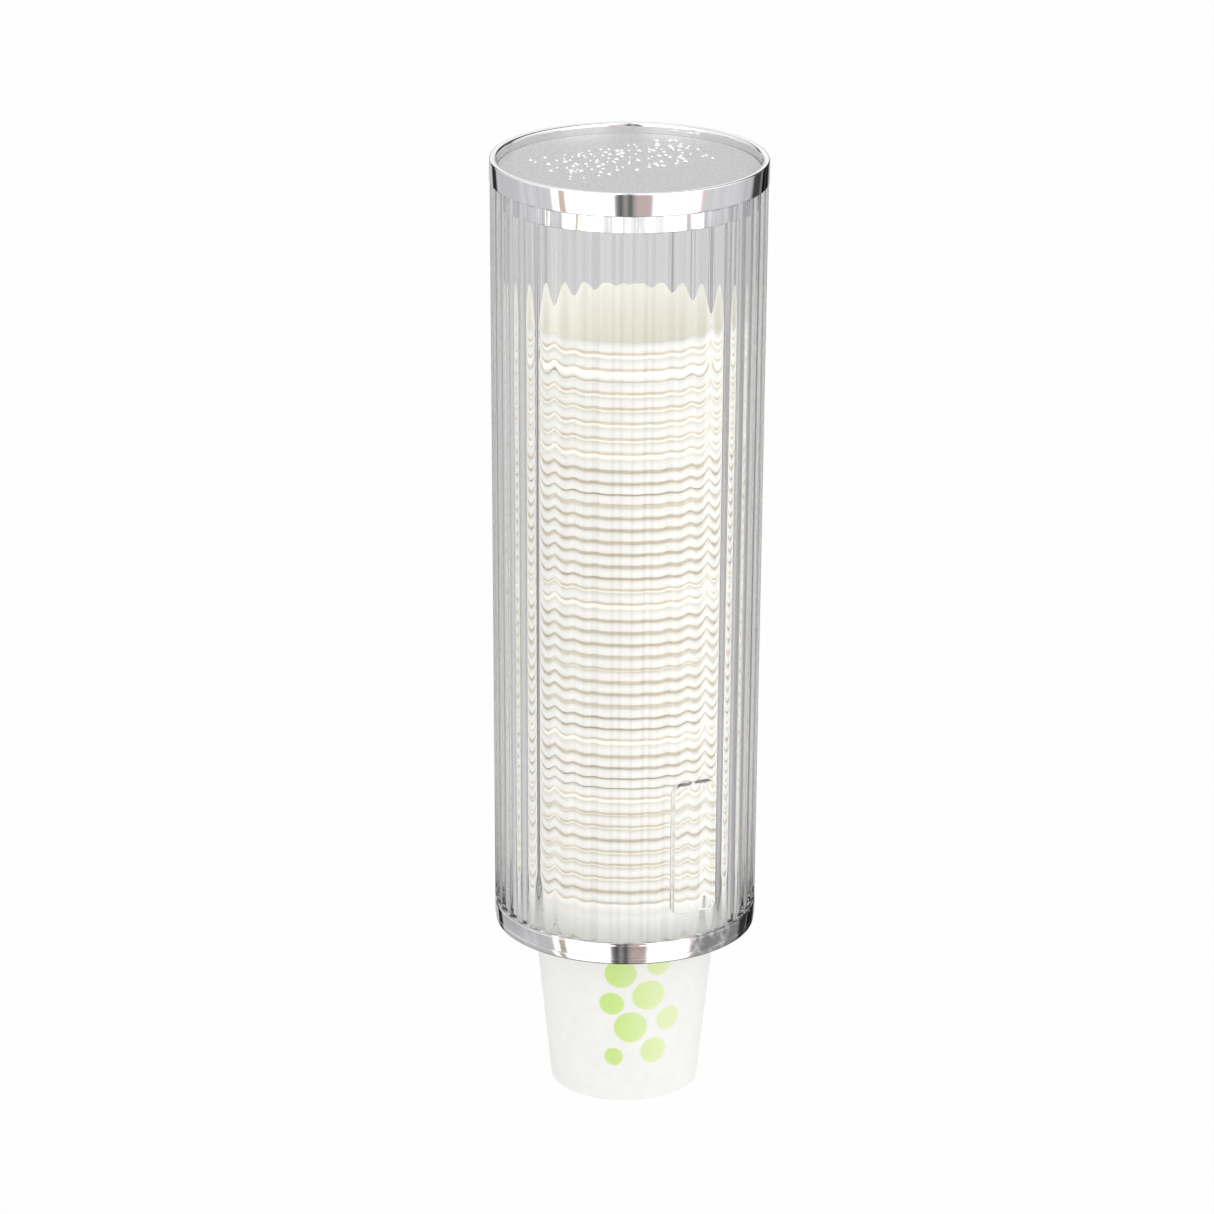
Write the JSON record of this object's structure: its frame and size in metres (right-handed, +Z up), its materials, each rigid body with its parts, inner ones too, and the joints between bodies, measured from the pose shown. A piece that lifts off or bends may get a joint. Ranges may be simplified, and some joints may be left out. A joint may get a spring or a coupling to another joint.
{
  "type": "cup dispenser",
  "caption": "Wall-hung clear fluted tube that holds nested paper cups, with bright lid and base bands, a slit gasket grip and a flat hanger pad.",
  "frame": {"origin": "centre of the hanger pad's flat outer face", "axes": "+Z up along the tube, +Y out of the pad into the wall, +X to the right for someone who faces the wall"},
  "size_m": [0.092, 0.093, 0.3265],
  "materials": {
    "clear_plastic": "clear moulded, fluted",
    "plated_plastic": "bright chrome-plated moulding",
    "silicone": "translucent soft",
    "satin_grey": "satin grey",
    "clear_pad": "clear moulded",
    "cup_paper": "uncoated outside, waxed inside",
    "stacked_paper": "uncoated"
  },
  "bodies": {
    "housing": {"tube": "clear_plastic", "base_ring": "plated_plastic", "gasket": "silicone", "hanger_pad": "clear_pad"},
    "lid": {"lid_cap": "plated_plastic", "lid_disc": "satin_grey"},
    "pulled_cup": {"bottom_cup": "cup_paper"},
    "column": {"cup_stack": "stacked_paper", "top_cup": "cup_paper"}
  },
  "joints": [
    {"name": "lid_lift", "type": "slide", "parent": "housing", "child": "lid", "axis": [0, 0, 1], "range_m": [0, 0.06]},
    {"name": "cup_pull", "type": "slide", "parent": "housing", "child": "pulled_cup", "axis": [0, 0, -1], "range_m": [0, 0.085], "deforming": ["gasket"]},
    {"name": "stack_drop", "type": "slide", "parent": "housing", "child": "column", "axis": [0, 0, -1], "range_m": [0, 0.00425]}
  ],
  "couplings": [
    {"joint": "stack_drop", "follows": "cup_pull", "ratio": 0.05}
  ]
}
